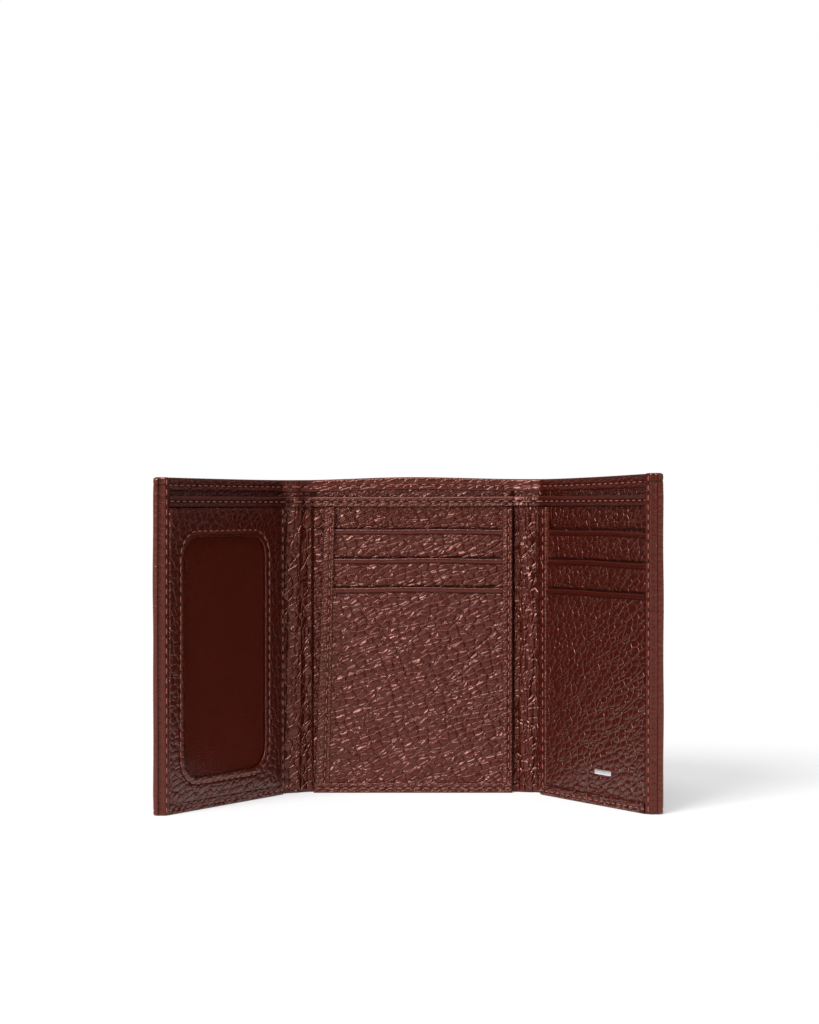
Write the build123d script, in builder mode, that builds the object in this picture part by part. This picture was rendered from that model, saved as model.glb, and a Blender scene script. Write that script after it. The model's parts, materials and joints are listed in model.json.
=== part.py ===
from build123d import *
import os
from math import cos, sin, radians

# Trifold wallet standing on its long lower edge, millimetres, +Z up.
# Origin: middle of the centre panel's lower edge, on the front face of its inner leather.
# -Y is the inside of the wallet (card side), +Y is the outside back.

# ---- overall sizes -------------------------------------------------------------------
shell_height = 105.0          # outer shell, lower edge to upper edge
inner_drop = 6.3              # card side's upper edge below the shell's upper edge
centre_width = 67.0           # between the two fold lines beside the centre panel
left_fold_width = 11.2        # soft strip between the centre and the left wing
right_fold_width = 9.0        # soft strip between the centre and the right wing
left_wing_width = 66.0
right_wing_width = 64.5

# ---- rest angles, degrees: each fold strip from the centre, each wing from its strip --
left_fold_angle = 29.0
left_wing_angle = 29.0
right_fold_angle = 16.4
right_wing_angle = 42.6

# ---- sheet thicknesses ---------------------------------------------------------------
inner_leather_t = 0.6
inner_lining_t = 0.2
bill_gap = 0.6                # bill compartment, lying flat and empty
bill_lining_t = 0.2
facing_t = 0.4                # leather strip at the mouth of the bill compartment
outer_leather_t = 1.0
turned_edge_t = 0.6           # pared leather turned in along the shell's upper edge
slot_leather_t = 0.5
slot_lining_t = 0.2
card_gap = 0.1                # between two card slots with no card in them
edging_lip = 0.5              # edging stands this far in front of the foremost card slot
binding_t = 0.5
film_t = 0.2
id_backing_t = 0.2
id_gap = 0.1                  # ID pocket with no card in it
id_frame_t = 0.6
foil_t = 0.08

# ---- heights and band widths ---------------------------------------------------------
turned_edge_h = 4.0           # turned edge seen inside the shell's upper edge
facing_h = 17.0
binding_h = 3.4               # stitched band along the card side's upper edge
bottom_edging_h = 3.3
side_edging_w = 3.2           # turned edge down the outer side of each wing
centre_left_edging_w = 4.2
centre_right_edging_w = 3.3
left_inner_edging_w = 2.0
right_inner_edging_w = 3.6
slot_count = 3
first_slot_drop = 11.1        # first card slot's edge below the card side's upper edge
slot_pitch = 9.7
slot_band_h = 16.0            # leather part of a slot that other slots cover
fold_foot = 0.5               # the soft inner strips stop this far above the floor
window_radius = 7.0
window_foot = 10.4            # window's lower edge above the floor
window_head = 12.7            # window's upper edge below the card side's upper edge
window_near_margin = 11.2     # from the wing's fold line to the window
window_far_margin = 10.8      # from the window to the wing's outer side
corner_radius = 1.2
foil_width = 9.0
foil_height = 1.6
foil_foot = 10.0
foil_from_edge = 21.0         # foil bar's outer end from the wing's outer side

# ---- clearances ----------------------------------------------------------------------
fold_gap = 0.15               # each sheet stops this far from a fold line
band_gap = 0.8                # stitched upper band stops this far from a fold line
left_edging_gap = 0.4         # raised edging from the left fold line
right_edging_gap = 0.3        # raised edging from the right fold line
right_stack_gap = 3.0         # right wing's raised edging from its fold line
right_edge_step = 1.0         # height of that edging where it starts

# ---- thread --------------------------------------------------------------------------
thread_w = 0.35
thread_h = 0.12
stitch_in = 1.6               # row of stitches from a free edge
window_stitch = 2.0           # row of stitches outside the window

# ---- worked out from the sizes above --------------------------------------------------
inner_top = shell_height - inner_drop
band_foot = inner_top - binding_h
lining_back = inner_leather_t + inner_lining_t
outer_front = lining_back + bill_gap + bill_lining_t
outer_back = outer_front + outer_leather_t
slot_step = slot_leather_t + card_gap
stack_front = -(slot_count * slot_step + edging_lip)
id_front = -(id_backing_t + id_gap + film_t + id_frame_t)
turned_foot = shell_height - turned_edge_h
facing_foot = turned_foot - facing_h
centre_half = centre_width / 2
window_width = left_wing_width - window_near_margin - window_far_margin
window_height = inner_top - window_head - window_foot

os.makedirs("parts", exist_ok=True)


def panel(name, fold_line, angle, side):
    """Upright frame of one panel: local x runs along it, local y out through its back."""
    x_dir = (cos(radians(angle)), -side * sin(radians(angle)), 0)
    plane = Plane(origin=(fold_line[0], fold_line[1], 0), x_dir=x_dir, z_dir=(0, 0, 1))
    return {"name": name, "plane": plane, "side": side}


def next_fold(fold_line, angle, side, width):
    """Fold line at the far side of a panel of this width."""
    return (fold_line[0] + side * width * cos(radians(angle)),
            fold_line[1] - width * sin(radians(angle)))


def keep(body, piece_name, part):
    """Label one finished piece and write it to its own file."""
    part.label = body["name"] + "_" + piece_name
    export_step(part, "parts/" + part.label + ".step")


def sheet(body, piece_name, along, depth, height, rounded=False):
    """One flat sheet, from its spans along the panel, through its depth and in height.

    A rounded sheet has its two outer corners rounded, seen from the front.
    """
    with BuildPart() as piece:
        with BuildSketch(body["plane"].offset(height[0])):
            with Locations((body["side"] * sum(along) / 2, sum(depth) / 2)):
                Rectangle(along[1] - along[0], depth[1] - depth[0])
        extrude(amount=height[1] - height[0])
        if rounded:
            level = piece.edges().filter_by(Axis((0, 0, 0), body["plane"].y_dir))
            outward = body["plane"].x_dir * body["side"]
            fillet(level.sort_by(Axis((0, 0, 0), outward))[-2:], radius=corner_radius)
    keep(body, piece_name, piece.part)


def shell_sheets(body, along):
    """Outer leather's lining, facing and turned upper edge across one panel."""
    sheet(body, "turned_edge", along, (outer_front - turned_edge_t, outer_front), (turned_foot, shell_height))
    sheet(body, "bill_facing", along, (outer_front - facing_t, outer_front), (facing_foot, turned_foot))
    sheet(body, "bill_lining", along, (outer_front - bill_lining_t, outer_front),
          (bottom_edging_h, facing_foot))


def card_slots(body, along):
    """Three overlapping card slots, the last one reaching down to the lower edging."""
    tops = [inner_top - first_slot_drop - slot_pitch * i for i in range(slot_count)]
    for i, top in enumerate(tops):
        front = -slot_step * (i + 1)
        foot = bottom_edging_h if i == slot_count - 1 else top - slot_band_h
        sheet(body, "card_slot_" + str(i + 1), along, (front, front + slot_leather_t), (foot, top))
    with BuildPart() as linings:
        for i, top in enumerate(tops[:-1]):
            back = -slot_step * (i + 1) + slot_leather_t
            with BuildSketch(body["plane"].offset(bottom_edging_h)):
                with Locations((body["side"] * sum(along) / 2, back - slot_lining_t / 2)):
                    Rectangle(along[1] - along[0], slot_lining_t)
            extrude(amount=top - slot_band_h - bottom_edging_h)
    keep(body, "slot_linings", linings.part)


def thread_rows(body, rows, ring=None):
    """Rows of thread lying on a face: each row is (along, height, face)."""
    with BuildPart() as threads:
        for along, height, face in rows:
            with BuildSketch(body["plane"].offset(height[0])):
                with Locations((body["side"] * sum(along) / 2, face - thread_h / 2)):
                    Rectangle(along[1] - along[0], thread_h)
            extrude(amount=height[1] - height[0])
        if ring:
            centre, width, tall, radius = ring
            face = body["plane"].offset(centre[1])
            upright = Plane(origin=face.from_local_coords((body["side"] * centre[0], id_front, 0)),
                            x_dir=face.x_dir, z_dir=-face.y_dir)
            with BuildSketch(upright):
                RectangleRounded(width + thread_w, tall + thread_w, radius + thread_w / 2)
                RectangleRounded(width - thread_w, tall - thread_w, radius - thread_w / 2,
                                 mode=Mode.SUBTRACT)
            extrude(amount=thread_h)
    keep(body, "stitching", threads.part)


def level_row(along, height, face):
    """Thread row parallel to the floor."""
    return (along, (height - thread_w / 2, height + thread_w / 2), face)


def upright_row(along, height, face):
    """Thread row standing upright."""
    return ((along - thread_w / 2, along + thread_w / 2), height, face)


# ---- where the five bodies stand at rest ----------------------------------------------
left_line = (-centre_half, 0.0)
right_line = (centre_half, 0.0)
left_wing_line = next_fold(left_line, left_fold_angle, -1, left_fold_width)
right_wing_line = next_fold(right_line, right_fold_angle, 1, right_fold_width)
centre = panel("centre", (0.0, 0.0), 0.0, 1)
left_fold = panel("left_fold", left_line, left_fold_angle, -1)
right_fold = panel("right_fold", right_line, right_fold_angle, 1)
left_wing = panel("left_wing", left_wing_line, left_fold_angle + left_wing_angle, -1)
right_wing = panel("right_wing", right_wing_line, right_fold_angle + right_wing_angle, 1)


def build_centre():
    """Centre panel: shell, bill compartment and three card slots."""
    across = (-centre_half + fold_gap, centre_half - fold_gap)
    raised = (-centre_half + left_edging_gap, centre_half - right_edging_gap)
    slots = (raised[0] + centre_left_edging_w, raised[1] - centre_right_edging_w)
    upright = (bottom_edging_h, band_foot)
    band = (-centre_half + band_gap, centre_half - band_gap)
    sheet(centre, "outer_leather", across, (outer_front, outer_back), (0, shell_height))
    shell_sheets(centre, across)
    sheet(centre, "inner_leather", across, (0, inner_leather_t), (bottom_edging_h, inner_top))
    sheet(centre, "inner_lining", across, (inner_leather_t, lining_back), (bottom_edging_h, inner_top))
    sheet(centre, "top_binding", band, (-binding_t, 0), (band_foot, inner_top))
    sheet(centre, "left_edging", (raised[0], slots[0]), (stack_front, 0), upright)
    sheet(centre, "right_edging", (slots[1], raised[1]), (stack_front, 0), upright)
    sheet(centre, "bottom_edging", raised, (stack_front, outer_front), (0, bottom_edging_h))
    card_slots(centre, slots)
    thread_rows(centre, [
        level_row(band, inner_top - binding_h / 2, -binding_t),
        level_row(raised, stitch_in, stack_front),
        upright_row(slots[0] - stitch_in, upright, stack_front),
        upright_row(raised[1] - stitch_in, upright, stack_front),
        level_row(across, turned_foot + stitch_in, outer_front - turned_edge_t),
    ])


def build_fold(body, width):
    """Soft strip that bends beside the centre panel."""
    across = (fold_gap, width - fold_gap)
    sheet(body, "outer_leather", across, (outer_front, outer_back), (0, shell_height))
    shell_sheets(body, across)
    sheet(body, "bottom_hem", across, (lining_back, outer_front), (0, bottom_edging_h))
    sheet(body, "inner_leather", across, (0, lining_back), (fold_foot, inner_top))
    sheet(body, "top_binding", (band_gap, width - band_gap), (-binding_t, 0), (band_foot, inner_top))


def wing_shell(body, width, front):
    """Outer leather of a wing with the edges turned in down its outer side and along the foot."""
    across = (fold_gap, width)
    inside = (fold_gap, width - side_edging_w)
    sheet(body, "outer_leather", across, (outer_front, outer_back), (0, shell_height), rounded=True)
    shell_sheets(body, inside)
    sheet(body, "side_turned_edge", (width - side_edging_w, width), (front, outer_front),
          (0, shell_height), rounded=True)
    sheet(body, "inner_leather", inside, (0, inner_leather_t), (bottom_edging_h, inner_top))
    sheet(body, "inner_lining", inside, (inner_leather_t, lining_back), (bottom_edging_h, inner_top))
    return inside


def wing_rows(inside, width, front, near):
    """Thread rows that both wings share."""
    return [
        upright_row(width - side_edging_w + stitch_in, (stitch_in, inner_top), front),
        level_row((near, inside[1]), stitch_in, front),
        level_row(inside, turned_foot + stitch_in, outer_front - turned_edge_t),
    ]


def build_left_wing():
    """Left wing: ID pocket behind a clear film and a leather frame with a window."""
    inside = wing_shell(left_wing, left_wing_width, id_front)
    pocket = (left_edging_gap + left_inner_edging_w, inside[1])
    film_front = id_front + id_frame_t
    upright = (bottom_edging_h, band_foot)
    sheet(left_wing, "bottom_turned_edge", (left_edging_gap, inside[1]), (id_front, outer_front),
          (0, bottom_edging_h))
    sheet(left_wing, "inner_edging", (left_edging_gap, pocket[0]), (id_front, 0), upright)
    sheet(left_wing, "id_backing", pocket, (-id_backing_t, 0), upright)
    sheet(left_wing, "id_film", pocket, (film_front, film_front + film_t), upright)
    sheet(left_wing, "top_binding", (band_gap, inside[1]), (id_front, film_front), (band_foot, inner_top))
    window_centre = (window_near_margin + window_width / 2, window_foot + window_height / 2)
    plane = left_wing["plane"]
    with BuildPart() as id_frame:
        with BuildSketch(plane.offset(upright[0])):
            with Locations((-sum(pocket) / 2, (id_front + film_front) / 2)):
                Rectangle(pocket[1] - pocket[0], id_frame_t)
        extrude(amount=upright[1] - upright[0])
        corner = plane.offset(window_centre[1]).from_local_coords((-window_centre[0], id_front, 0))
        with BuildSketch(Plane(origin=corner, x_dir=plane.x_dir, z_dir=-plane.y_dir)):
            RectangleRounded(window_width, window_height, window_radius)
        extrude(amount=-id_frame_t, mode=Mode.SUBTRACT)
    keep(left_wing, "id_frame", id_frame.part)
    rows = wing_rows(inside, left_wing_width, id_front, left_edging_gap)
    rows.append(level_row((band_gap, inside[1]), inner_top - binding_h / 2, id_front))
    rows.append(upright_row(left_edging_gap + left_inner_edging_w / 2, upright, id_front))
    ring = (window_centre, window_width + 2 * window_stitch, window_height + 2 * window_stitch,
            window_radius + window_stitch)
    thread_rows(left_wing, rows, ring)


def build_right_wing():
    """Right wing: three card slots and a plain foil bar near the lower outer corner."""
    inside = wing_shell(right_wing, right_wing_width, stack_front)
    near = right_stack_gap + right_inner_edging_w
    upright = (bottom_edging_h, band_foot)
    sheet(right_wing, "inner_edging", (right_stack_gap, near), (-right_edge_step, 0), upright)
    with BuildPart() as bottom_turned_edge:
        with BuildSketch(right_wing["plane"]):
            with BuildLine():
                Polyline((inside[1], outer_front), (fold_gap, outer_front), (fold_gap, lining_back),
                         (right_stack_gap, 0), (right_stack_gap, -right_edge_step),
                         (near, stack_front), (inside[1], stack_front), close=True)
            make_face()
        extrude(amount=bottom_edging_h)
    keep(right_wing, "bottom_turned_edge", bottom_turned_edge.part)
    card_slots(right_wing, (near, inside[1]))
    sheet(right_wing, "top_binding", (right_stack_gap, inside[1]), (-binding_t, 0), (band_foot, inner_top))
    foil_end = right_wing_width - foil_from_edge
    slot_front = -slot_step * slot_count
    sheet(right_wing, "foil_mark", (foil_end - foil_width, foil_end), (slot_front - foil_t, slot_front),
          (foil_foot, foil_foot + foil_height))
    rows = wing_rows(inside, right_wing_width, stack_front, near)
    rows.append(level_row((right_stack_gap, inside[1]), inner_top - binding_h / 2, -binding_t))
    rows.append(upright_row(right_stack_gap + right_inner_edging_w / 2, upright, -right_edge_step))
    thread_rows(right_wing, rows)


build_centre()
build_fold(left_fold, left_fold_width)
build_fold(right_fold, right_fold_width)
build_left_wing()
build_right_wing()
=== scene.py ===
import bpy
import bmesh
import json
import math
import numpy as np
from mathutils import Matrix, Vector


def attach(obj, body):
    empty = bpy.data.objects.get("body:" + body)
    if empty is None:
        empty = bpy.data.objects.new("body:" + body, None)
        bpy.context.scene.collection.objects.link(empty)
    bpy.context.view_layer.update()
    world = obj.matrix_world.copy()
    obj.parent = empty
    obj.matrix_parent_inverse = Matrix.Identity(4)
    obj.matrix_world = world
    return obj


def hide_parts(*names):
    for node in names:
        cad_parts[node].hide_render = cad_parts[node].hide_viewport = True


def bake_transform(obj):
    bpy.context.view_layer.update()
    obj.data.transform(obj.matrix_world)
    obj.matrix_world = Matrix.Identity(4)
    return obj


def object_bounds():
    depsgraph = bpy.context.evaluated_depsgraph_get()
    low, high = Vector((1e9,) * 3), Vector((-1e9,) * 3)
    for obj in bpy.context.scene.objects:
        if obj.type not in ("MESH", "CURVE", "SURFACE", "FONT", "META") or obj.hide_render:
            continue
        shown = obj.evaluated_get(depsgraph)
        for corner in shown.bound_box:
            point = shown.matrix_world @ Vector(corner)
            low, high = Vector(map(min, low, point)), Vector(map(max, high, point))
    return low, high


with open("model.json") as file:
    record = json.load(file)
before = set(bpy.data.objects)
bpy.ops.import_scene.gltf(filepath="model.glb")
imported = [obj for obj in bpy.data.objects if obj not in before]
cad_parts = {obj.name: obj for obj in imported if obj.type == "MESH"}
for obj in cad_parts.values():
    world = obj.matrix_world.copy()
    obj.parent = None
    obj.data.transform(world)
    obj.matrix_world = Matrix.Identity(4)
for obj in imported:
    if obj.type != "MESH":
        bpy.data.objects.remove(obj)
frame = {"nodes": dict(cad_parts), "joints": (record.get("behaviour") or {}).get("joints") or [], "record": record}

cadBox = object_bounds()
mm = 0.001
scene = bpy.context.scene
print("frame loaded")

# every place is first given on the flat, opened-out hide, and then folded round the hinges
hinges = {joint["name"]: joint for joint in frame["joints"]}


def readSide(name, sign):
    fold = hinges[name + "_fold_hinge"]
    wing = hinges[name + "_wing_hinge"]
    dx = abs(wing["pos_m"][0] - fold["pos_m"][0])
    dy = fold["pos_m"][1] - wing["pos_m"][1]
    half = abs(fold["pos_m"][0])
    strip = math.hypot(dx, dy)
    return {"sign": sign, "half": half, "strip": strip, "turn1": math.atan2(dy, dx),
            "turn2": math.radians(-wing["range_deg"][0]), "far": half + strip, "middle": half + strip / 2}


sides = {"left": readSide("left", -1), "right": readSide("right", 1)}


def turnAbout(x, y, centreX, angle):
    return (centreX + (x - centreX) * np.cos(angle) + y * np.sin(angle),
            -(x - centreX) * np.sin(angle) + y * np.cos(angle))


def ease(t):
    t = np.clip(t, 0, 1)
    return t * t * (3 - 2 * t)


def place(side, along, depth, height, reach):
    # reach None: stiff centre, "wing": stiff wing, a number: soft sheet bending this far past each fold line
    s = sides[side]
    if reach is None:
        return s["sign"] * along, depth, height
    if reach == "wing":
        first = second = np.ones_like(along)
    else:
        first = ease((along - s["half"] + reach) / (s["middle"] - s["half"] + reach))
        second = ease((along - s["middle"]) / (s["far"] + reach - s["middle"]))
    x, y = turnAbout(along, depth, s["far"], s["turn2"] * second)
    x, y = turnAbout(x, y, s["half"], s["turn1"] * first)
    return s["sign"] * x, y, height


def flattened(node, points=None):
    # a CAD node's vertices laid back on the flat hide: along, depth, height
    if points is None:
        points = np.array([v.co for v in frame["nodes"][node].data.vertices], float).reshape(-1, 3)
    x, y, z = points.T
    for name, s in sides.items():
        if node.startswith(name):
            x, y = turnAbout(x * s["sign"], y, s["half"], -s["turn1"])
            if node.startswith(name + "_wing"):
                x, y = turnAbout(x, y, s["far"], -s["turn2"])
    return x, y, z


def spanOf(node, points=None):
    x, y, z = flattened(node, points)
    return {"u0": x.min(), "u1": x.max(), "w0": y.min(), "w1": y.max(), "z0": z.min(), "z1": z.max()}


def solidsOf(node):
    # the same spans, one for each separate solid of a node
    mesh = frame["nodes"][node].data
    group = {}

    def root(k):
        while group.get(k, k) != k:
            k = group[k]
        return k
    for face in mesh.polygons:
        keys = [tuple(round(c * 1e6) for c in mesh.vertices[v].co) for v in face.vertices]
        for key in keys:
            group.setdefault(key, key)
        for key in keys[1:]:
            group[root(key)] = root(keys[0])
    parts = {}
    for key in group:
        parts.setdefault(root(key), []).append([c * 1e-6 for c in key])
    return [spanOf(node, np.array(points)) for points in sorted(parts.values())]


class Wire:
    def __init__(self, graph, socket):
        self.graph = graph
        self.socket = socket

    def other(self, output):
        # another output of the same node
        return Wire(self.graph, self.socket.node.outputs[output])

    def maths(self, operation, first, second):
        return self.graph.add("ShaderNodeMath", {"operation": operation}, {0: first, 1: second})

    def __add__(self, other):
        return self.maths("ADD", self, other)

    def __radd__(self, other):
        return self.maths("ADD", other, self)

    def __sub__(self, other):
        return self.maths("SUBTRACT", self, other)

    def __rsub__(self, other):
        return self.maths("SUBTRACT", other, self)

    def __mul__(self, other):
        return self.maths("MULTIPLY", self, other)

    def __rmul__(self, other):
        return self.maths("MULTIPLY", other, self)


class Graph:
    # the nodes of a new material, or of the world or the tree that is given
    def __init__(self, name, world=None, tree=None):
        if tree is None:
            self.material = world or bpy.data.materials.new(name)
            self.material.use_nodes = True
            tree = self.material.node_tree
            tree.nodes.clear()
        self.tree = tree

    def add(self, kind, settings=None, inputs=None, output=0):
        node = self.tree.nodes.new(kind)
        for key, value in (settings or {}).items():
            if key == "stops":
                for i, (position, colour) in enumerate(value):
                    stop = node.color_ramp.elements[i] if i < 2 else node.color_ramp.elements.new(position)
                    stop.position = position
                    stop.color = colour
            else:
                setattr(node, key, value)
        for key, value in (inputs or {}).items():
            if isinstance(value, Wire):
                self.tree.links.new(value.socket, node.inputs[key])
            else:
                node.inputs[key].default_value = value
        return Wire(self, node.outputs[output]) if len(node.outputs) else None

    def spread(self, value, low, high, toLow=0.0, toHigh=1.0):
        ends = {"Value": value, "From Min": low, "From Max": high, "To Min": toLow, "To Max": toHigh}
        return self.add("ShaderNodeMapRange", {"interpolation_type": "SMOOTHSTEP"}, ends)

    def blend(self, factor, first, second):
        return self.add("ShaderNodeMix", {"data_type": "RGBA"}, {0: factor, 6: first, 7: second}, 2)

    def noise(self, vector, size, detail, output="Fac"):
        return self.add("ShaderNodeTexNoise", None,
                        {"Vector": vector, "Scale": 1 / size, "Detail": detail}, output)

    def cells(self, vector, size, evenness=1.0, feature="DISTANCE_TO_EDGE"):
        return self.add("ShaderNodeTexVoronoi", {"feature": feature},
                        {"Vector": vector, "Scale": 1 / size, "Randomness": evenness}, "Distance")

    def leaning(self, vector, degrees, scale):
        return self.add("ShaderNodeMapping", {"vector_type": "TEXTURE"},
                        {"Vector": vector, "Rotation": (0, math.radians(degrees), 0), "Scale": scale})

    def vector(self, operation, first, second):
        return self.add("ShaderNodeVectorMath", {"operation": operation}, {0: first, 1: second})

    def scaled(self, vector, scale):
        return self.add("ShaderNodeVectorMath", {"operation": "SCALE"}, {0: vector, "Scale": scale})

    def bump(self, height, strength, distance):
        return self.add("ShaderNodeBump", None,
                        {"Height": height, "Strength": strength, "Distance": distance})

    def finish(self, inputs):
        shader = self.add("ShaderNodeBsdfPrincipled", None, inputs)
        self.add("ShaderNodeOutputMaterial", None, {"Surface": shader})
        return self.material


leatherLook = {
    # valley colour: painted shade laid into the grain's valleys; the same colour also tints the random mottled
    # patches
    # worn colour: partly real edge wear and partly a painted highlight, a lighter colour on rounded free edges and
    # slot lips
    "base": (0.042, 0.0040, 0.0016, 1), "valleyShadeAndMottle": (0.034, 0.0030, 0.0011, 1), "worn": (0.12, 0.022, 0.012, 1),
    # dye colour: painted shade, a near-black laid into seams, stitch grooves, creases and the gaps over slot lips
    "paintedShadeColour": (0.012, 0.0013, 0.0006, 1), "glint": (1.0, 0.50, 0.42, 1), "roughness": 0.25, "wearAndHighlight": 0.3,
    "pebbleSize": 2.35 * mm, "fineSize": 1.2 * mm, "creaseSize": 8.5 * mm, "poreSize": 0.22 * mm,
    "driftSize": 2.6 * mm, "driftReach": 0.5 * mm, "patchSize": 14 * mm, "relief": 1.15 * mm,
    "stretch": (1.0, 0.7, 1.0), "evenness": 0.75,
    "lean": -20, "leanScale": (1.3, 1.0, 0.86), "skew": -24, "skewScale": (1.9, 1.0, 0.62),  # degrees
}
edgeLook = dict(leatherLook, base=(0.032, 0.0031, 0.0012, 1), wearAndHighlight=0.6, roughness=0.28, relief=0.75 * mm,
                pebbleSize=1.4 * mm, creaseSize=5.0 * mm)
foldLook = dict(leatherLook, roughness=0.23, pebbleSize=2.2 * mm, creaseSize=5.0 * mm)


def leather(name, look):
    g = Graph(name)
    flat = g.add("ShaderNodeAttribute", {"attribute_name": "flatPlace"}, output="Vector")
    grain = g.add("ShaderNodeAttribute", {"attribute_name": "grain"}, output="Fac")
    worn = g.add("ShaderNodeAttribute", {"attribute_name": "worn"}, output="Fac")
    deep = g.add("ShaderNodeAttribute", {"attribute_name": "deep"}, output="Fac")
    stretched = g.vector("MULTIPLY", flat, look["stretch"])
    drift = g.noise(stretched, look["driftSize"], 1.0, "Color")
    centred = g.vector("SUBTRACT", drift, (0.5, 0.5, 0.5))
    warped = g.vector("ADD", stretched, g.scaled(centred, look["driftReach"]))
    lean = g.leaning(warped, look["lean"], look["leanScale"])
    pebbles = g.cells(lean, look["pebbleSize"], look["evenness"])
    fine = g.cells(warped, look["fineSize"])
    creases = g.cells(g.leaning(warped, look["skew"], look["skewScale"]), look["creaseSize"])
    pores = g.noise(flat, look["poreSize"], 2.0)
    patches = g.noise(flat, look["patchSize"], 2.0)
    crowns = g.cells(lean, look["pebbleSize"], look["evenness"], "F1")
    furrow = g.spread(pebbles, 0.0, 0.15)
    dome = 1 - crowns * crowns
    small = g.spread(fine, 0.0, 0.16)
    crease = g.spread(creases, 0.0, 0.06)
    relief = furrow * 0.19 + dome * 0.36 + small * 0.02 + crease * 0.18
    height = relief * grain + pores * 0.010
    bump = g.bump(height, 1.0, look["relief"])
    # painted shade: the colour darkens where the relief is low, in the grain's valleys and furrows
    raised = g.spread(relief, 0.24, 0.62)
    shadedSkin = g.blend(raised, look["valleyShadeAndMottle"], look["base"])
    mottled = g.blend(g.spread(patches, 0.35, 0.75, 0.0, 0.25), shadedSkin, look["valleyShadeAndMottle"])
    # partly real edge wear, partly painted highlight: rounded edges take the lighter worn colour
    colour = g.blend(worn * look["wearAndHighlight"], mottled, look["worn"])
    rough = look["roughness"] + (1 - raised) * 0.08 + patches * 0.05
    skinShader = g.add("ShaderNodeBsdfPrincipled", None, {
        "Base Color": colour, "Roughness": rough, "Normal": bump, "Specular IOR Level": 0.9,
        "Specular Tint": look["glint"]})
    # painted shade: where this mask is set, a near-black, rough, dull surface stands in for the shadow in grooves
    # and gaps
    paintedShadeShader = g.add("ShaderNodeBsdfPrincipled", None, {
        "Base Color": look["paintedShadeColour"], "Roughness": 0.9, "Specular IOR Level": 0.1})
    mixed = g.add("ShaderNodeMixShader", None, {0: deep, 1: skinShader, 2: paintedShadeShader})
    g.add("ShaderNodeOutputMaterial", None, {"Surface": mixed})
    return g.material


clothLook = {"light": (0.105, 0.0115, 0.0050, 1), "dark": (0.072, 0.0066, 0.0024, 1), "thread": 0.32 * mm,
             "roughness": 0.85, "relief": 0.05 * mm}


def cloth(name, look):
    g = Graph(name)
    flat = g.add("ShaderNodeTexCoord", None, None, "Object")
    turns = {"Scale": math.pi / look["thread"] / 10}
    warp = g.add("ShaderNodeTexWave", {"bands_direction": "X"}, dict(turns, Vector=flat), "Fac")
    weft = g.add("ShaderNodeTexWave", {"bands_direction": "Z"}, dict(turns, Vector=flat), "Fac")
    weave = warp * weft
    return g.finish({"Base Color": g.blend(weave, look["dark"], look["light"]), "Specular IOR Level": 0.1,
                     "Roughness": look["roughness"], "Normal": g.bump(weave, 0.3, look["relief"])})


filmLook = {"colour": (0.05, 0.008, 0.004, 1), "alpha": 0.12, "roughness": 0.12, "hazeSize": 18 * mm,
            "relief": 0.6 * mm}


def film(name, look):
    g = Graph(name)
    flat = g.add("ShaderNodeTexCoord", None, None, "Object")
    haze = g.noise(flat, look["hazeSize"], 2.0)
    return g.finish({"Base Color": look["colour"], "Roughness": look["roughness"] + haze * 0.1,
                     "Alpha": look["alpha"], "Normal": g.bump(haze, 0.4, look["relief"])})


threadLook = {"dark": (0.13, 0.022, 0.011, 1), "light": (0.36, 0.115, 0.085, 1), "glint": (1, 0.6, 0.52, 1),
              "roughness": 0.36, "fibreSize": 0.25 * mm, "relief": 0.06 * mm}


def threadFinish(name, look):
    g = Graph(name)
    flat = g.add("ShaderNodeTexCoord", None, None, "Object")
    fibres = g.noise(flat, look["fibreSize"], 2.0)
    return g.finish({"Base Color": g.blend(fibres, look["dark"], look["light"]),
                     "Specular Tint": look["glint"], "Roughness": look["roughness"],
                     "Normal": g.bump(fibres, 0.6, look["relief"])})


foilLook = {"colour": (0.86, 0.87, 0.89, 1), "metallic": 0.9, "roughness": 0.22, "fleckSize": 0.4 * mm,
            "relief": 0.05 * mm}


def foilFinish(name, look):
    g = Graph(name)
    flat = g.add("ShaderNodeTexCoord", None, None, "Object")
    flecks = g.noise(flat, look["fleckSize"], 3.0)
    return g.finish({"Base Color": look["colour"], "Roughness": look["roughness"] + flecks * 0.2,
                     "Metallic": look["metallic"], "Normal": g.bump(flecks, 0.3, look["relief"])})


finishes = {
    "pebbled_leather": leather("pebbledLeather", leatherLook),
    "edge_leather": leather("edgeLeather", edgeLook),
    "soft_leather": leather("foldLeather", foldLook),
    "lining": cloth("liningCloth", clothLook),
    "clear_film": film("clearFilm", filmLook),
    "thread": threadFinish("sewingThread", threadLook),
    "foil": foilFinish("silverFoil", foilLook),
}
print("finishes made")


# sheets are built as a front and a back surface over one grid
def rows(start, end, step, freeStart=0.0, freeEnd=0.0, marks=()):
    # grid lines from start to end, closer together round free edges and at marks (place, half width)
    lines = list(np.linspace(start, end, max(2, int(math.ceil((end - start) / step)) + 1)))
    for share in (0.03, 0.12, 0.28, 0.5, 0.75, 1.0):
        if freeStart:
            lines.append(start + share * freeStart)
        if freeEnd:
            lines.append(end - share * freeEnd)
    for mark, half in marks:
        lines += [mark + half * k for k in (-2.0, -1.0, -0.55, 0.0, 0.55, 1.0, 2.0)]
    lines = sorted(v for v in lines if start - 1e-9 <= v <= end + 1e-9)
    kept = [lines[0]]
    for v in lines[1:]:
        if v - kept[-1] > 0.02 * mm:
            kept.append(v)
    kept[-1] = end
    return np.array(kept)


def edgeDrop(distance, radius, depth=None):
    # how far a rounded edge falls away at this distance from it
    t = 1 - np.clip(distance / radius, 0, 1)
    return (depth or radius) * (1 - np.sqrt(np.maximum(1 - t * t, 0)))


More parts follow.
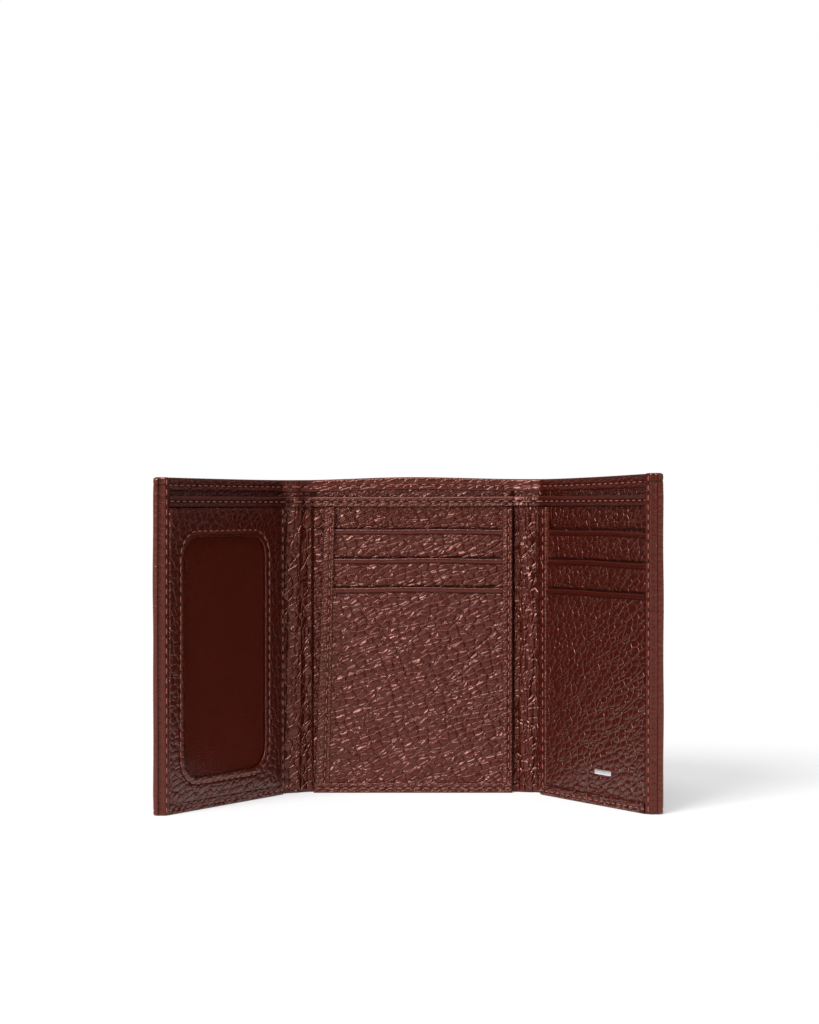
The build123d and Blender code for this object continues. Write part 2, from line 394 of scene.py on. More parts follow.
def roundCorners(U, Z, corners, radius):
    for cu, cz, du, dz in corners:
        a = (U - (cu - du * radius)) * du / radius
        b = (Z - (cz - dz * radius)) * dz / radius
        inside = (a > 0) & (b > 0)
        a2 = a * np.sqrt(np.maximum(1 - b * b / 2, 0))
        b2 = b * np.sqrt(np.maximum(1 - a * a / 2, 0))
        U = np.where(inside, cu - du * radius + du * radius * a2, U)
        Z = np.where(inside, cz - dz * radius + dz * radius * b2, Z)
    return U, Z


def addObject(name, data):
    obj = bpy.data.objects.new(name, data)
    scene.collection.objects.link(obj)
    return obj


def addVectors(mesh, title, vectors):
    attribute = mesh.attributes.new(title, "FLOAT_VECTOR", "POINT")
    attribute.data.foreach_set("vector", np.array(vectors, np.float32).ravel())


def makePiece(name, points, faces, flats, values, sharpFrom=None):
    # flats places each point on the flat hide, for the grain; sharpFrom in degrees keeps hard edges hard
    mesh = bpy.data.meshes.new(name)
    mesh.from_pydata(points, [], faces)
    addVectors(mesh, "flatPlace", flats)
    for title, numbers in values.items():
        data = mesh.attributes.new(title, "FLOAT", "POINT").data
        data.foreach_set("value", np.array(numbers, np.float32))
    bm = bmesh.new()
    bm.from_mesh(mesh)
    bmesh.ops.remove_doubles(bm, verts=bm.verts, dist=0.004 * mm)
    loose = [v for v in bm.verts if not v.link_faces]
    bmesh.ops.delete(bm, geom=loose, context="VERTS")
    bmesh.ops.recalc_face_normals(bm, faces=bm.faces)
    bm.to_mesh(mesh)
    bm.free()
    mesh.shade_smooth()
    if sharpFrom:
        mesh.set_sharp_from_angle(angle=math.radians(sharpFrom))
    return addObject(name, mesh)


def buildSheet(name, side, us, zs, front, back, reach, free=None, corners=(), cornerRadius=1.2 * mm,
               shape=None, grain=None, seed=0.0, gather=None, deep=None):
    # free: rounding radius at each free edge {"u0","u1","z0","z1"}; shape(U, Z) moves the grid in its plane
    free = free or {}
    U, Z = np.meshgrid(us, zs, indexing="ij")
    W1, W2 = front(U, Z), back(U, Z)
    fall = np.zeros_like(U)
    for key, axis, limit in (("u0", U, us[0]), ("u1", U, us[-1]), ("z0", Z, zs[0]), ("z1", Z, zs[-1])):
        if free.get(key):
            wide, down = free[key] if isinstance(free[key], tuple) else (free[key], free[key])
            fall = np.maximum(fall, edgeDrop(np.abs(axis - limit), wide, down))
    fall = np.minimum(fall, (W2 - W1) * 0.48)
    W1 = W1 + fall
    W2 = W2 - fall
    # where an edge rounds away it takes the lighter worn colour: partly real edge wear, partly painted highlight
    worn = np.clip(fall / (0.4 * mm), 0, 1)
    grainValue = grain(U, Z) if grain else np.ones_like(U)
    # this mask carries painted shade for grooves, seams and gaps
    paintedShadeValue = np.clip(deep(U, Z), 0, 1) if deep else np.zeros_like(U)
    if corners:
        U, Z = roundCorners(U, Z, corners, cornerRadius)
    if shape:
        U, Z = shape(U, Z)
    n, m = U.shape
    points, flats, grains, wearsAndHighlights, paintedShades = [], [], [], [], []
    for W in (W1, W2):
        x, y, z = place(side, U.ravel(), W.ravel(), Z.ravel(), reach)
        points.append(np.stack([x, y, np.maximum(z, 0)], 1))
        pulled = Z * (1 - 0.38 * gather(U)) if gather else Z
        across = sides[side]["sign"] * U.ravel() + seed
        flats.append(np.stack([across, W.ravel() + seed * 0.37, pulled.ravel()], 1))
        grains.append(grainValue.ravel())
        wearsAndHighlights.append(worn.ravel())
        paintedShades.append(paintedShadeValue.ravel())
    faces = []
    index = np.arange(n * m).reshape(n, m)
    back0 = n * m
    for i in range(n - 1):
        for j in range(m - 1):
            a, b, c, d = index[i, j], index[i + 1, j], index[i + 1, j + 1], index[i, j + 1]
            faces.append((a, b, c, d))
            faces.append((back0 + a, back0 + d, back0 + c, back0 + b))
    count = {}
    for face in faces:
        if face[0] >= back0:
            continue
        for a, b in zip(face, face[1:] + face[:1]):
            count[(a, b)] = count.get((a, b), 0) + 1
    for a, b in list(count):
        if (b, a) not in count:
            faces.append((b, a, back0 + a, back0 + b))
    values = {"grain": grains, "worn": wearsAndHighlights, "deep": paintedShades}
    return makePiece(name, np.concatenate(points).tolist(), faces, np.concatenate(flats),
                     {title: np.concatenate(parts) for title, parts in values.items()}, 50)


def dress(obj, slotName, nodes):
    obj.data.materials.clear()
    obj.data.materials.append(finishes[slotName])
    if nodes:
        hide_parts(*nodes)
    return obj


stiffReach = {"centre": None, "left_wing": "wing", "right_wing": "wing"}


def softHinge(obj, side, section, reach):
    # bakes the piece's placement into its mesh; the bend over the fold is already in the sheet's shape, both
    # halves of a strip meet at its middle, and the hinge line worked out here is not used
    s = sides[side]
    along = Vector((s["sign"] * math.cos(s["turn1"]), -math.sin(s["turn1"]), 0))
    fold = Vector((s["sign"] * s["half"], 0, 0))
    middle = fold + along * (s["strip"] / 2)
    if section == "centre":
        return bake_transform(obj)
    end = fold + along * (s["strip"] + reach * math.cos(s["turn2"]))
    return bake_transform(obj)


# small unevenness that all layers share
def ripple(U, Z, size, seed, sign=1):
    U = U * sign
    a = np.sin(U / size * 2.1 + 1.7 * np.sin(Z / size * 0.8 + seed) + seed * 3.1)
    b = np.sin(Z / size * 1.7 + 1.3 * np.sin(U / size * 1.1 + seed * 1.9) + seed)
    return 0.5 * (a + b)


sway = {  # how far the upper edges rise or dip: at mid centre, at the folds, at the wing's outer end
    "left": {"shell": (0.3, -0.7, 0.0), "inner": (0.0, 0.0, 0.7)},
    "right": {"shell": (0.3, -0.35, 1.35), "inner": (0.0, 0.3, 1.15)},
}


def lift(side, layer):
    mid, fold, end = (v * mm for v in sway[side][layer])
    s = sides[side]
    top = cadBox[1][2]
    reachEnd = spanOf(side + "_wing_outer_leather")["u1"]

    def move(U, Z):
        toFold = ease(U / s["middle"])
        toEnd = np.clip((U - s["far"]) / (reachEnd - s["far"]), 0, 1) ** 1.4
        rise = mid + (fold - mid) * toFold + (end - fold) * toEnd
        return U, Z + rise * np.clip(Z / top, 0, 1) ** 4
    return move


# the shell is one hide round the back, its edges turned in
shellSizes = {"step": 1.3 * mm, "reach": 3.0 * mm, "edgeRound": 0.75 * mm,
              "seamDepth": 0.16 * mm, "seamHalf": 0.35 * mm}
outer = spanOf("centre_outer_leather")
turned = spanOf("centre_turned_edge")
stepHalf = 0.06 * mm
seamInset = 1.6 * mm  # the rows that run along upper and lower edges
seamInsets = {"rim": 1.0 * mm, "centreLeft": 1.5 * mm, "centreRight": 1.3 * mm, "leftWing": 1.0 * mm,
              "rightWing": 1.8 * mm}  # the rows that run up the sides, each from its own edging's edge


def groove(distance, depth, half):
    return depth * np.exp(-(distance / half) ** 2)


def stepUp(value, at, half=stepHalf):
    return ease((value - at + half) / (2 * half))


edgeReach = {"left": 0.8 * mm, "right": 1.15 * mm}
edgeProfile = {  # the wing's turned side: how deep its face lies, by distance in from the edge, in mm
    "left": [(0.0, 1.1), (0.25, 0.85), (0.6, 0.75), (0.95, 0.95), (1.25, 0.9), (1.55, -0.1), (1.85, -0.95),
             (2.1, -1.1), (3.2, -1.1)],
    "right": [(0.0, 0.8), (0.25, 0.45), (0.6, 0.3), (0.95, 0.5), (1.2, 0.4), (1.45, -0.6), (1.7, -1.3),
              (2.0, -1.55), (3.2, -1.9)],
}


def rimDepth(side, inset):
    profile = edgeProfile[side]
    return np.interp(inset, [p[0] * mm for p in profile], [p[1] * mm for p in profile])


def shellShape(side):
    # the turned outer edge of each wing is a soft roll that reaches a little past its board
    raiseTop = lift(side, "shell")
    end = spanOf(side + "_wing_outer_leather")["u1"]

    def move(U, Z):
        roll = ease((U - end + 4 * mm) / (4 * mm)) * edgeReach[side]
        wander = 0.12 * mm * np.sin(Z / (17 * mm) + len(side)) * ease((U - end + 4 * mm) / (4 * mm))
        return raiseTop(U + roll + wander, Z)
    return move


def shellSection(side, section):
    s = sides[side]
    z = shellSizes
    middle = s["middle"]
    hemTop = spanOf("centre_bottom_edging")["z1"]
    hemFront = spanOf("centre_inner_lining")["w1"]
    stitchTop = turned["z0"] + seamInset
    marksZ = [(turned["z0"], 0.1 * mm), (hemTop, 0.1 * mm), (stitchTop, z["seamHalf"])]
    nodes = []
    if section == "centre":
        us = rows(0, middle, z["step"], marks=[(s["half"], 1.0 * mm)])
        freeU = 0.0
        nodes = [side + "_fold_outer_leather", side + "_fold_turned_edge", side + "_fold_bottom_hem"]
        if side == "left":
            nodes += ["centre_outer_leather", "centre_turned_edge"]
        corners = ()
    else:
        wing = spanOf(side + "_wing_outer_leather")
        rim = spanOf(side + "_wing_side_turned_edge")
        sole = spanOf(side + "_wing_bottom_turned_edge")
        rimStitch = rim["u0"] + seamInsets["rim"]
        nearRim = sole["w0"]
        freeU = (0.55 * mm, 0.9 * mm)
        us = rows(middle, wing["u1"], z["step"], freeEnd=3.4 * mm,
                  marks=[(s["far"], 1.0 * mm), (rim["u0"], 0.1 * mm), (rimStitch, z["seamHalf"])])
        nodes = [side + "_wing_outer_leather", side + "_wing_turned_edge", side + "_wing_side_turned_edge",
                 side + "_wing_bottom_turned_edge"]
        corners = [(wing["u1"], outer["z0"], 1, -1), (wing["u1"], outer["z1"], 1, 1)]
        soleStart = spanOf(side + "_wing_inner_edging")["u0"]
        marksZ.append((seamInset, z["seamHalf"]))
    zs = rows(outer["z0"], outer["z1"], z["step"], z["edgeRound"] * 0.6, z["edgeRound"], marksZ)

    def front(U, Z):
        inner = outer["w0"] - (outer["w0"] - turned["w0"]) * stepUp(Z, turned["z0"])
        inner = inner + groove(Z - stitchTop, z["seamDepth"], z["seamHalf"])
        inner = inner - 0.16 * mm * np.exp(-((Z - turned["z0"] - 0.5 * mm) / (0.35 * mm)) ** 2)
        inner = hemFront + (inner - hemFront) * stepUp(Z, hemTop)
        if section == "centre":
            return inner
        low = (1 - stepUp(Z, hemTop)) * ease((U - soleStart + 0.3 * mm) / (0.6 * mm))
        onRim = np.maximum(stepUp(U, rim["u0"]), low)
        rimFace = np.where(U > rim["u0"], rimDepth(side, wing["u1"] - U), nearRim)
        rimFace = rimFace + groove(U - rimStitch, z["seamDepth"], z["seamHalf"])
        rimFace = rimFace + groove(Z - seamInset, z["seamDepth"], z["seamHalf"]) * (U < rim["u0"])
        fromInner = np.minimum(np.abs(U - rim["u0"]), np.where(U > rim["u0"], 1.0, np.abs(Z - hemTop)))
        rimFace = rimFace + edgeDrop(fromInner, 0.3 * mm)
        return inner + (rimFace - inner) * onRim

    def back(U, Z):
        calm = ease((Z - 2 * mm) / (6 * mm)) * ease((stitchTop - 0.5 * mm - Z) / (5 * mm))
        face = outer["w1"] + 0.12 * mm * ripple(U, Z, 9 * mm, 0.4, s["sign"]) * calm
        for seam in (stitchTop, seamInset):
            face = face - groove(Z - seam, z["seamDepth"], z["seamHalf"])
        if section == "wing":
            face = face - groove(U - rimStitch, z["seamDepth"], z["seamHalf"])
        return face

    def grain(U, Z):
        edges = 0.65 * stepUp(Z, turned["z0"])
        if section == "wing":
            edges = np.maximum(edges, 0.88 * stepUp(U, rim["u0"]))
        return 1 - edges

    # painted shade along the stitch grooves and in the crease where the turned rim meets the shell
    def deep(U, Z):
        dark = groove(Z - stitchTop, 1, 0.28 * mm)
        if section == "wing":
            dark = np.maximum(dark, groove(U - rimStitch, 1, 0.28 * mm))
            dark = np.maximum(dark, groove(U - rim["u0"], 1, 0.2 * mm))
        return 0.6 * dark

    obj = buildSheet(side.title() + "Shell_" + section, side, us, zs, front, back, z["reach"],
                     {"u1": freeU, "z0": z["edgeRound"] * 0.6, "z1": z["edgeRound"]}, corners,
                     shape=shellShape(side), grain=grain, deep=deep)
    dress(obj, "pebbled_leather", nodes)
    return softHinge(obj, side, section, z["reach"])


def layerSection(name, side, section, base, slotName, reach, rounding, layer, seed, extra=None, marksZ=(),
                 fold=None, grain=None, deep=None):
    # one sheet of a layer that runs across the folds; base gives its depth and height
    s = sides[side]
    middle = s["middle"]
    end = middle
    if section == "wing":
        end = spanOf(side + "_wing_" + base)["u1"]
    start = 0.0 if section == "centre" else middle
    step = 1.4 * mm
    us = rows(start, end, step)
    if fold:
        near = s["half"] - 1 * mm if section == "centre" else middle
        far = middle if section == "centre" else s["far"] + 1 * mm
        stiff = us[(us < near) | (us > far)]
        us = np.unique(np.concatenate([stiff, np.arange(near, far, 0.28 * mm), [start, end]]))
    flat = spanOf("centre_" + base)
    z0, z1 = flat["z0"], flat["z1"]
    if extra:
        z0, z1 = extra.get("z0", z0), extra.get("z1", z1)
    lower, upper = rounding if isinstance(rounding, tuple) else (rounding, rounding)
    zs = rows(z0, z1, step, lower, upper, marksZ)
    if fold:
        zs = np.unique(np.concatenate([zs, np.arange(z0, z1, 0.7 * mm)]))
    w0 = (extra or {}).get("w0", lambda U, Z: np.full_like(U, flat["w0"]))
    w1 = (extra or {}).get("w1", lambda U, Z: np.full_like(U, flat["w1"]))

    def gather(U):
        return ease((U - s["half"] + 0.5 * mm) / mm) * ease((s["far"] + 0.5 * mm - U) / mm)
    obj = buildSheet(side.title() + name + "_" + section, side, us, zs, w0, w1, reach,
                     {"z0": lower, "z1": upper}, shape=lift(side, layer), seed=seed, grain=grain, deep=deep,
                     gather=gather)
    nodes = [side + "_fold_" + base] if section == "centre" else [side + "_wing_" + base]
    nodes = [n for n in nodes if n in frame["nodes"]]
    if section == "centre" and side == "left":
        nodes.append("centre_" + base)
    dress(obj, slotName, nodes)
    return softHinge(obj, side, section, reach)


innerSizes = {"reach": 0.8 * mm, "capDepth": 0.35 * mm, "round": 0.22 * mm}
binding = spanOf("centre_top_binding")
innerTop = binding["z1"]


def creased(side):
    # how the thin leather of a fold strip gathers into upright creases
    s = sides[side]
    heavy = {"left": 0.55, "right": 1.0}[side]
    slant = {"left": 0.35, "right": 0.06}[side]

    def move(U, Z):
        x = (U - s["half"]) / s["strip"]
        inside = ease(x / 0.16) * ease((1 - x) / 0.16)
        wander = 0.9 * np.sin(Z / (13 * mm)) + 0.5 * np.sin(Z / (5.1 * mm) + 1.3) + slant * Z / (3.0 * mm)
        fine = 0.7 * np.sin(Z / (3.3 * mm) + 0.6) + 0.5 * np.sin(Z / (7.7 * mm))
        wide = np.sin((U / (2.9 * mm)) * 2 * math.pi + wander)
        narrow = np.sin((U / (1.35 * mm)) * 2 * math.pi + fine + wander)
        knots = np.sin(Z / (2.6 * mm) + 2.2 * np.sin(U / (1.9 * mm)))
        return inside * heavy * (0.20 * wide + 0.10 * narrow * (0.6 + 0.4 * knots) + 0.06 * knots) * mm
    return move


slotSizes = {"step": 1.1 * mm, "edgeRound": (0.65 * mm, 0.24 * mm), "creaseDrop": 1.45 * mm,
             "creaseDepth": 0.2 * mm, "creaseHalf": 0.22 * mm, "lean": 0.3 * mm, "swell": 0.25 * mm,
             "recess": 0.28 * mm, "recessHalf": 0.4 * mm}
slotTops = [spanOf("centre_card_slot_" + str(n))["z1"] for n in (1, 2, 3)]


def lipShade(Z, top):
    # the dark line just over a slot's lip
    return np.exp(-((Z - top - 0.35 * mm) / (0.42 * mm)) ** 2)


def lipRecess(Z, top):
    # a layer sinks a little where the next slot's lip stands in front of it
    return groove(Z - top - 0.45 * mm, slotSizes["recess"], slotSizes["recessHalf"])


def innerLeather(side, section):
    s = sides[side]
    flat = spanOf("centre_inner_leather")
    crease = creased(side)

    def behindSlot(U):
        return (U < s["half"] - mm) | ((U > s["far"] + mm) & (side == "right"))

    def face(U, Z):
        return np.full_like(U, flat["w0"]) + crease(U, Z) + lipRecess(Z, slotTops[0]) * behindSlot(U)
    foot = spanOf("left_fold_inner_leather")["z0"]
    extra = {"z0": foot, "z1": innerTop - innerSizes["capDepth"], "w0": face,
             "w1": lambda U, Z: np.full_like(U, flat["w1"])}
    # painted shade: the dark line over the first slot's lip, on the leather behind it
    return layerSection("InnerLeather", side, section, "inner_leather", "soft_leather", innerSizes["reach"],
                        innerSizes["round"], "inner", 0.031, extra, fold=True,
                        deep=lambda U, Z: lipShade(Z, slotTops[0]) * behindSlot(U))


def topBinding(side, section):
    s = sides[side]
    stitch = (binding["z0"] + binding["z1"]) / 2
    wingFace = spanOf(side + "_wing_top_binding")["w0"]
    rise = s["far"] + 0.8 * mm

    def face(U, Z):
        w = binding["w0"] + (wingFace - binding["w0"]) * ease((U - rise) / (0.5 * mm))
        w = w + groove(Z - stitch, 0.22 * mm, 0.4 * mm)
        w = w - 0.12 * mm * np.exp(-((Z - binding["z0"] - 0.45 * mm) / (0.3 * mm)) ** 2)
        return w + creased(side)(U, Z) * 0.5

    def rear(U, Z):
        base = np.maximum(binding["w1"] + 0.02 * mm + 0 * U, 0)
        cap = spanOf("centre_inner_lining")["w1"] + 0.04 * mm
        return base + (cap - base) * stepUp(Z, innerTop - innerSizes["capDepth"])
    extra = {"w0": face, "w1": rear}

    # painted shade in the binding's stitch groove and along its lower edge
    def deep(U, Z):
        return 0.95 * groove(Z - stitch, 1, 0.42 * mm) + 0.6 * groove(Z - binding["z0"], 1, 0.2 * mm)

    def grain(U, Z):
        inFold = ease((U - s["half"]) / mm) * ease((s["far"] - U) / mm)
        return (0.4 + 0.3 * inFold) * (1 - 0.8 * ease((Z - innerTop + 1.2 * mm) / (0.5 * mm)))
    marks = [(stitch, 0.35 * mm), (binding["z0"] + 0.55 * mm, 0.2 * mm),
             (innerTop - innerSizes["capDepth"], 0.1 * mm)]
    return layerSection("TopBinding", side, section, "top_binding", "edge_leather", innerSizes["reach"],
                        (0.25 * mm, 0.6 * mm), "inner", 0.057, extra, marks, fold=True, deep=deep,
                        grain=grain)


for side in ("left", "right"):
    for section in ("centre", "wing"):
        shellSection(side, section)
        layerSection("BillFacing", side, section, "bill_facing", "edge_leather", shellSizes["reach"],
                     0.15 * mm, "shell", 0.013)
        layerSection("BillLining", side, section, "bill_lining", "lining", shellSizes["reach"], 0.05 * mm,
                     "shell", 0.0)
        innerLeather(side, section)
        layerSection("InnerLining", side, section, "inner_lining", "lining", innerSizes["reach"], 0.05 * mm,
                     "inner", 0.0, {"z1": innerTop - innerSizes["capDepth"]})
        topBinding(side, section)
print("shell and inner sheets made")


def slotFront(node, U, Z, seed):
    flat = spanOf(node)
    z = slotSizes
    arch = np.sin(np.clip((U - flat["u0"]) / (flat["u1"] - flat["u0"]), 0, 1) * math.pi)
    fromTop = flat["z1"] - Z
    leaning = z["lean"] * (1 - ease(fromTop / (5 * mm))) * (0.4 + 0.6 * arch)
    low = ease(fromTop / (20 * mm)) * ease((Z - flat["z0"]) / (12 * mm)) * arch * z["swell"]
    w = flat["w0"] - leaning - low + groove(fromTop - z["creaseDrop"], z["creaseDepth"], z["creaseHalf"])
    for top in slotTops:
        w = w + lipRecess(Z, top) * (top < flat["z1"] - mm)
    return w + 0.05 * mm * ripple(U, Z, 6 * mm, seed * 40) * arch


def cardSlot(side, body, number, seed):
    node = body + "_card_slot_" + str(number)
    flat = spanOf(node)
    z = slotSizes
    reach = stiffReach[body]
    u0, u1 = flat["u0"], flat["u1"]
    us = rows(u0, u1, z["step"])
    crease = flat["z1"] - z["creaseDrop"]
    marks = [(crease, z["creaseHalf"])] + [(top + 0.45 * mm, z["recessHalf"]) for top in slotTops]
    zs = rows(flat["z0"], flat["z1"], z["step"], 0, z["edgeRound"][0], marks)

    def bow(U):
        x = (U - u0) / (u1 - u0)
        return x, np.sin(np.clip(x, 0, 1) * math.pi)

    def front(U, Z):
        return slotFront(node, U, Z, seed)

    def back(U, Z):
        arch = bow(U)[1]
        leaning = z["lean"] * (1 - ease((flat["z1"] - Z) / (5 * mm))) * (0.4 + 0.6 * arch)
        return flat["w1"] - leaning * 0.9 + 0 * U

    def shape(U, Z):
        x, arch = bow(U)
        top = ease((Z - (flat["z1"] - 6 * mm)) / (6 * mm))
        return U, Z + top * (0.28 * mm * arch + 0.12 * mm * np.sin(x * 9 + seed * 100))

    def grain(U, Z):
        return 0.12 + 0.88 * stepUp(flat["z1"] - Z, z["creaseDrop"] + 0.25 * mm, 0.25 * mm)

    # painted shade in the slot's crease and over the lips of the slots in front
    def deep(U, Z):
        fromTop = flat["z1"] - Z
        dark = 0.7 * np.exp(-((fromTop - z["creaseDrop"]) / (0.2 * mm)) ** 2)
        for top in slotTops:
            dark = dark + lipShade(Z, top) * (top < flat["z1"] - mm)
        return dark
    obj = buildSheet(node + "_leather", side, us, zs, front, back, reach, {"z1": z["edgeRound"]},
                     shape=shape, grain=grain, seed=seed, deep=deep)
    dress(obj, "pebbled_leather", [node])
    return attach(obj, body)


slotSeeds = {("centre", n): 0.011 * n for n in (1, 2, 3)}
slotSeeds |= {("right_wing", n): 0.017 * n + 0.005 for n in (1, 2, 3)}
for (body, number), seed in slotSeeds.items():
    cardSlot("right", body, number, seed)


def foilBar():
    # a plain pressed bar that lies on the pocket's leather
    flat = spanOf("right_wing_foil_mark")
    pocket = "right_wing_card_slot_3"
    seed = slotSeeds[("right_wing", 3)]
    us = rows(flat["u0"], flat["u1"], 0.5 * mm)
    zs = rows(flat["z0"], flat["z1"], 0.3 * mm)
    obj = buildSheet("FoilBar", "right", us, zs, lambda U, Z: slotFront(pocket, U, Z, seed) - 0.05 * mm,
                     lambda U, Z: slotFront(pocket, U, Z, seed) + 0.05 * mm, "wing",
                     {"u0": 0.05 * mm, "u1": 0.05 * mm, "z0": 0.05 * mm, "z1": 0.05 * mm},
                     [(flat["u0"], flat["z0"], -1, -1), (flat["u1"], flat["z0"], 1, -1),
                      (flat["u0"], flat["z1"], -1, 1), (flat["u1"], flat["z1"], 1, 1)], 0.4 * mm)
    dress(obj, "foil", ["right_wing_foil_mark"])
    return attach(obj, "right_wing")


foilBar()


def panelSheets(node, body, side, slotName):
    # one plain sheet for each solid of a lining, backing or film inside a pocket
    spans = solidsOf(node)
    for number, flat in enumerate(spans, 1):
        us = rows(flat["u0"], flat["u1"], 4 * mm)
        zs = rows(flat["z0"], flat["z1"], 4 * mm, 0.05 * mm, 0.05 * mm)
        thick = flat["w1"] - flat["w0"]
        obj = buildSheet(node + "_" + str(number), side, us, zs,
                         lambda U, Z: flat["w0"] + 0.1 * thick + 0.05 * thick * ripple(U, Z, 8 * mm, number),
                         lambda U, Z: flat["w1"] - 0.02 * mm + 0 * U, stiffReach[body],
                         {"z0": 0.05 * mm, "z1": 0.05 * mm})
        dress(obj, slotName, [node])
        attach(obj, body)


panelSheets("centre_slot_linings", "centre", "right", "lining")
panelSheets("right_wing_slot_linings", "right_wing", "right", "lining")
panelSheets("left_wing_id_backing", "left_wing", "left", "lining")
panelSheets("left_wing_id_film", "left_wing", "left", "clear_film")
print("card slots made")


edgingSizes = {"step": 1.2 * mm, "round": 0.5 * mm}


def edging(node, body, side, seed, taper=None, stitchAt=None, level=False, fronts=None):
    flat = spanOf(node)
    z = edgingSizes
    reach = stiffReach[body]
    marksU, marksZ = [], []
    if stitchAt:
        (marksZ if level else marksU).append((stitchAt, 0.35 * mm))
    us = rows(flat["u0"], flat["u1"], z["step"], z["round"], z["round"], marksU)
    endRound = z["round"] if level else 0
    zs = rows(flat["z0"], flat["z1"], z["step"], endRound, endRound, marksZ)

    def front(U, Z):
        w = fronts(U, Z) if fronts else np.full_like(U, flat["w0"])
        if stitchAt:
            w = w + groove((Z if level else U) - stitchAt, 0.24 * mm, 0.42 * mm)
        return w + 0.03 * mm * ripple(U, Z, 3 * mm, seed * 50)
    rear = 0.0 if not level else flat["w1"]
    free = {"u0": z["round"], "u1": z["round"]}
    if level:
        free.update(z0=z["round"] * 0.8, z1=z["round"])
    # painted shade along the stitch groove
    obj = buildSheet(node + "_leather", side, us, zs, front, lambda U, Z: rear + 0 * U, reach, free,
                     shape=taper, seed=seed, grain=lambda U, Z: 0.7 + 0 * U,
                     deep=lambda U, Z: 0.7 * groove((Z if level else U) - stitchAt, 1, 0.3 * mm))
    dress(obj, "edge_leather", [node])
    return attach(obj, body)


leftEdge = spanOf("centre_left_edging")
rightEdge = spanOf("centre_right_edging")
bottomEdge = spanOf("centre_bottom_edging")


def leftTaper(U, Z):
    # this edging leans in towards its upper end
    t = np.clip((Z - leftEdge["z0"]) / (leftEdge["z1"] - leftEdge["z0"]), 0, 1)
    across = (U - leftEdge["u0"]) / (leftEdge["u1"] - leftEdge["u0"])
    outerShift = (0.4 + 3.2 * t) * mm
    innerShift = (1.2 + 1.7 * t) * mm
    return U + outerShift * (1 - across) + innerShift * across, Z


edging("centre_left_edging", "centre", "right", 0.021, leftTaper, leftEdge["u1"] - seamInsets["centreLeft"])
edging("centre_right_edging", "centre", "right", 0.027, None, rightEdge["u1"] - seamInsets["centreRight"])
edging("centre_bottom_edging", "centre", "right", 0.033, None, seamInset, True)
leftInner = spanOf("left_wing_inner_edging")
edging("left_wing_inner_edging", "left_wing", "left", 0.041, None, leftInner["u0"] + seamInsets["leftWing"])
rightInner = spanOf("right_wing_inner_edging")
slotFace = spanOf("right_wing_card_slot_3")["w0"]


def slopedFace(U, Z):
    t = np.clip((U - rightInner["u0"]) / (rightInner["u1"] - rightInner["u0"]), 0, 1)
    return rightInner["w0"] + (slotFace - 0.3 * mm - rightInner["w0"]) * ease(t / 0.7)


edging("right_wing_inner_edging", "right_wing", "right", 0.047, None,
       rightInner["u0"] + seamInsets["rightWing"], fronts=slopedFace)
print("edgings made")


def windowRing(halfWidth, halfHeight, radius, perCorner, perSide):
    # a rounded rectangle, the same number of points whatever its size
    points = []
    for quarter in range(4):
        su, sz = ((1, 1), (-1, 1), (-1, -1), (1, -1))[quarter]
        cu, cz = su * (halfWidth - radius), sz * (halfHeight - radius)
        for k in range(perCorner + 1):
            angle = (quarter + k / perCorner) * math.pi / 2
            points.append((cu + radius * math.cos(angle), cz + radius * math.sin(angle)))
        nu, nz = ((-1, 1), (-1, -1), (1, -1), (1, 1))[quarter]
        nextU, nextZ = nu * (halfWidth - radius), nz * (halfHeight - radius)
        endAngle = (quarter + 1) * math.pi / 2
        start = points[-1]
        end = (nextU + radius * math.cos(endAngle), nextZ + radius * math.sin(endAngle))
        for k in range(1, perSide[quarter % 2]):
            t = k / perSide[quarter % 2]
            points.append((start[0] + (end[0] - start[0]) * t, start[1] + (end[1] - start[1]) * t))
    return points


idFrame = spanOf("left_wing_id_frame")


def windowOf():
    # the window's spans, read from the frame node's inner vertices
    x, y, z = flattened("left_wing_id_frame")
    tol = 0.05 * mm
    inner = (x > idFrame["u0"] + tol) & (x < idFrame["u1"] - tol)
    inner = inner & (z > idFrame["z0"] + tol) & (z < idFrame["z1"] - tol)
    return x[inner].min(), x[inner].max(), z[inner].min(), z[inner].max()


window = windowOf()
idSizes = {"radius": 7.0 * mm, "stitchOut": 2.0 * mm, "edgeRound": 0.25 * mm, "puff": 0.15 * mm}


